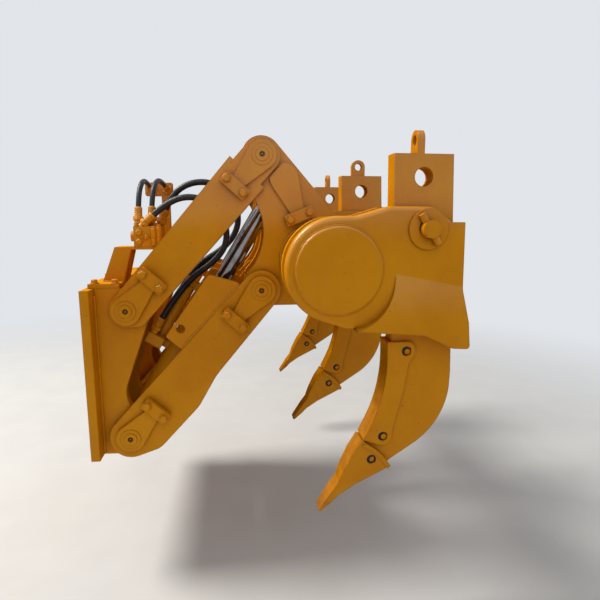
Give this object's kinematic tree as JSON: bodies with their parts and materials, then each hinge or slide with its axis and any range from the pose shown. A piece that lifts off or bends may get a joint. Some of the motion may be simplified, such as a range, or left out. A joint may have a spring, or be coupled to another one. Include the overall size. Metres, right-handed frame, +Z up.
{
  "type": "three-shank bulldozer ripper",
  "caption": "Rear parallelogram ripper for a bulldozer, with mounting bracket, lift arms, hydraulic cylinders and a tool beam holding curved shanks with replaceable points.",
  "frame": {"origin": "centre of the bracket's mounting face, where it bolts to the tractor's rear", "axes": "+X rearwards from the mounting face, +Y to the machine's right, +Z up; ripper fully raised"},
  "size_m": [1.5461, 2.09, 1.536],
  "materials": {
    "paint": "satin enamel, slightly dusty",
    "chrome": "polished hard chrome",
    "pin_steel": "overpainted steel",
    "hose_rubber": "matt braided rubber"
  },
  "bodies": {
    "bracket": {"bracket_plate": "paint", "bracket_ears_left": "paint", "bracket_ears_right": "paint", "valve_stand": "paint", "oil_manifold": "paint", "hose_lift_inner": "hose_rubber", "hose_lift_outer": "hose_rubber", "hose_supply_front": "hose_rubber", "hose_supply_rear": "hose_rubber"},
    "lower_arm": {"lower_arm_middle": "paint", "lower_arm_outer_side_left": "paint", "lower_arm_outer_side_right": "paint", "lower_arm_inner_side_left": "paint", "lower_arm_inner_side_right": "paint", "lower_arm_pins_left": "paint", "lower_arm_pins_right": "paint"},
    "tool_beam": {"tool_beam_tube": "paint", "tool_beam_ears_left": "paint", "tool_beam_ears_right": "paint", "shank_pocket_left": "paint", "shank_left": "paint", "shin_guard_left": "paint", "ripper_point_left": "paint", "wear_pins_left": "pin_steel", "shank_pin_left": "paint", "shank_pocket_middle": "paint", "shank_middle": "paint", "shin_guard_middle": "paint", "ripper_point_middle": "paint", "wear_pins_middle": "pin_steel", "shank_pin_middle": "paint", "shank_pocket_right": "paint", "shank_right": "paint", "shin_guard_right": "paint", "ripper_point_right": "paint", "wear_pins_right": "pin_steel", "shank_pin_right": "paint"},
    "upper_link_left": {"upper_link_left": "paint", "upper_link_pins_left": "paint"},
    "cylinder_left": {"cylinder_left": "paint"},
    "rod_left": {"piston_rod_left": "chrome"},
    "upper_link_right": {"upper_link_right": "paint", "upper_link_pins_right": "paint"},
    "cylinder_right": {"cylinder_right": "paint"},
    "rod_right": {"piston_rod_right": "chrome"}
  },
  "joints": [
    {"name": "lift", "type": "hinge", "parent": "bracket", "child": "lower_arm", "pos_m": [0.175, 0, -0.306], "axis": [0, 1, 0], "range_deg": [0, 82]},
    {"name": "beam_pivot", "type": "hinge", "parent": "lower_arm", "child": "tool_beam", "pos_m": [0.79208, 0, 0.38174], "axis": [0, 1, 0], "range_deg": [-82, 0]},
    {"name": "upper_link_pivot_left", "type": "hinge", "parent": "bracket", "child": "upper_link_left", "pos_m": [0.185, 0, 0.298], "axis": [0, 1, 0], "range_deg": [0, 82]},
    {"name": "cylinder_pivot_left", "type": "hinge", "parent": "bracket", "child": "cylinder_left", "pos_m": [0.175, 0, -0.306], "axis": [0, 1, 0], "range_deg": [0, 57.4]},
    {"name": "rod_slide_left", "type": "slide", "parent": "cylinder_left", "child": "rod_left", "axis": [0.5199, 0, 0.8542], "range_m": [-0.47944, 0]},
    {"name": "upper_link_pivot_right", "type": "hinge", "parent": "bracket", "child": "upper_link_right", "pos_m": [0.185, 0, 0.298], "axis": [0, 1, 0], "range_deg": [0, 82]},
    {"name": "cylinder_pivot_right", "type": "hinge", "parent": "bracket", "child": "cylinder_right", "pos_m": [0.175, 0, -0.306], "axis": [0, 1, 0], "range_deg": [0, 57.4]},
    {"name": "rod_slide_right", "type": "slide", "parent": "cylinder_right", "child": "rod_right", "axis": [0.5199, 0, 0.8542], "range_m": [-0.47944, 0]}
  ],
  "couplings": [
    {"joint": "beam_pivot", "follows": "lift", "ratio": -1},
    {"joint": "upper_link_pivot_left", "follows": "lift", "ratio": 1},
    {"joint": "cylinder_pivot_left", "follows": "lift", "ratio": 0.7},
    {"joint": "rod_slide_left", "follows": "lift", "m_per_rad": -0.335},
    {"joint": "upper_link_pivot_right", "follows": "lift", "ratio": 1},
    {"joint": "cylinder_pivot_right", "follows": "lift", "ratio": 0.7},
    {"joint": "rod_slide_right", "follows": "lift", "m_per_rad": -0.335}
  ]
}
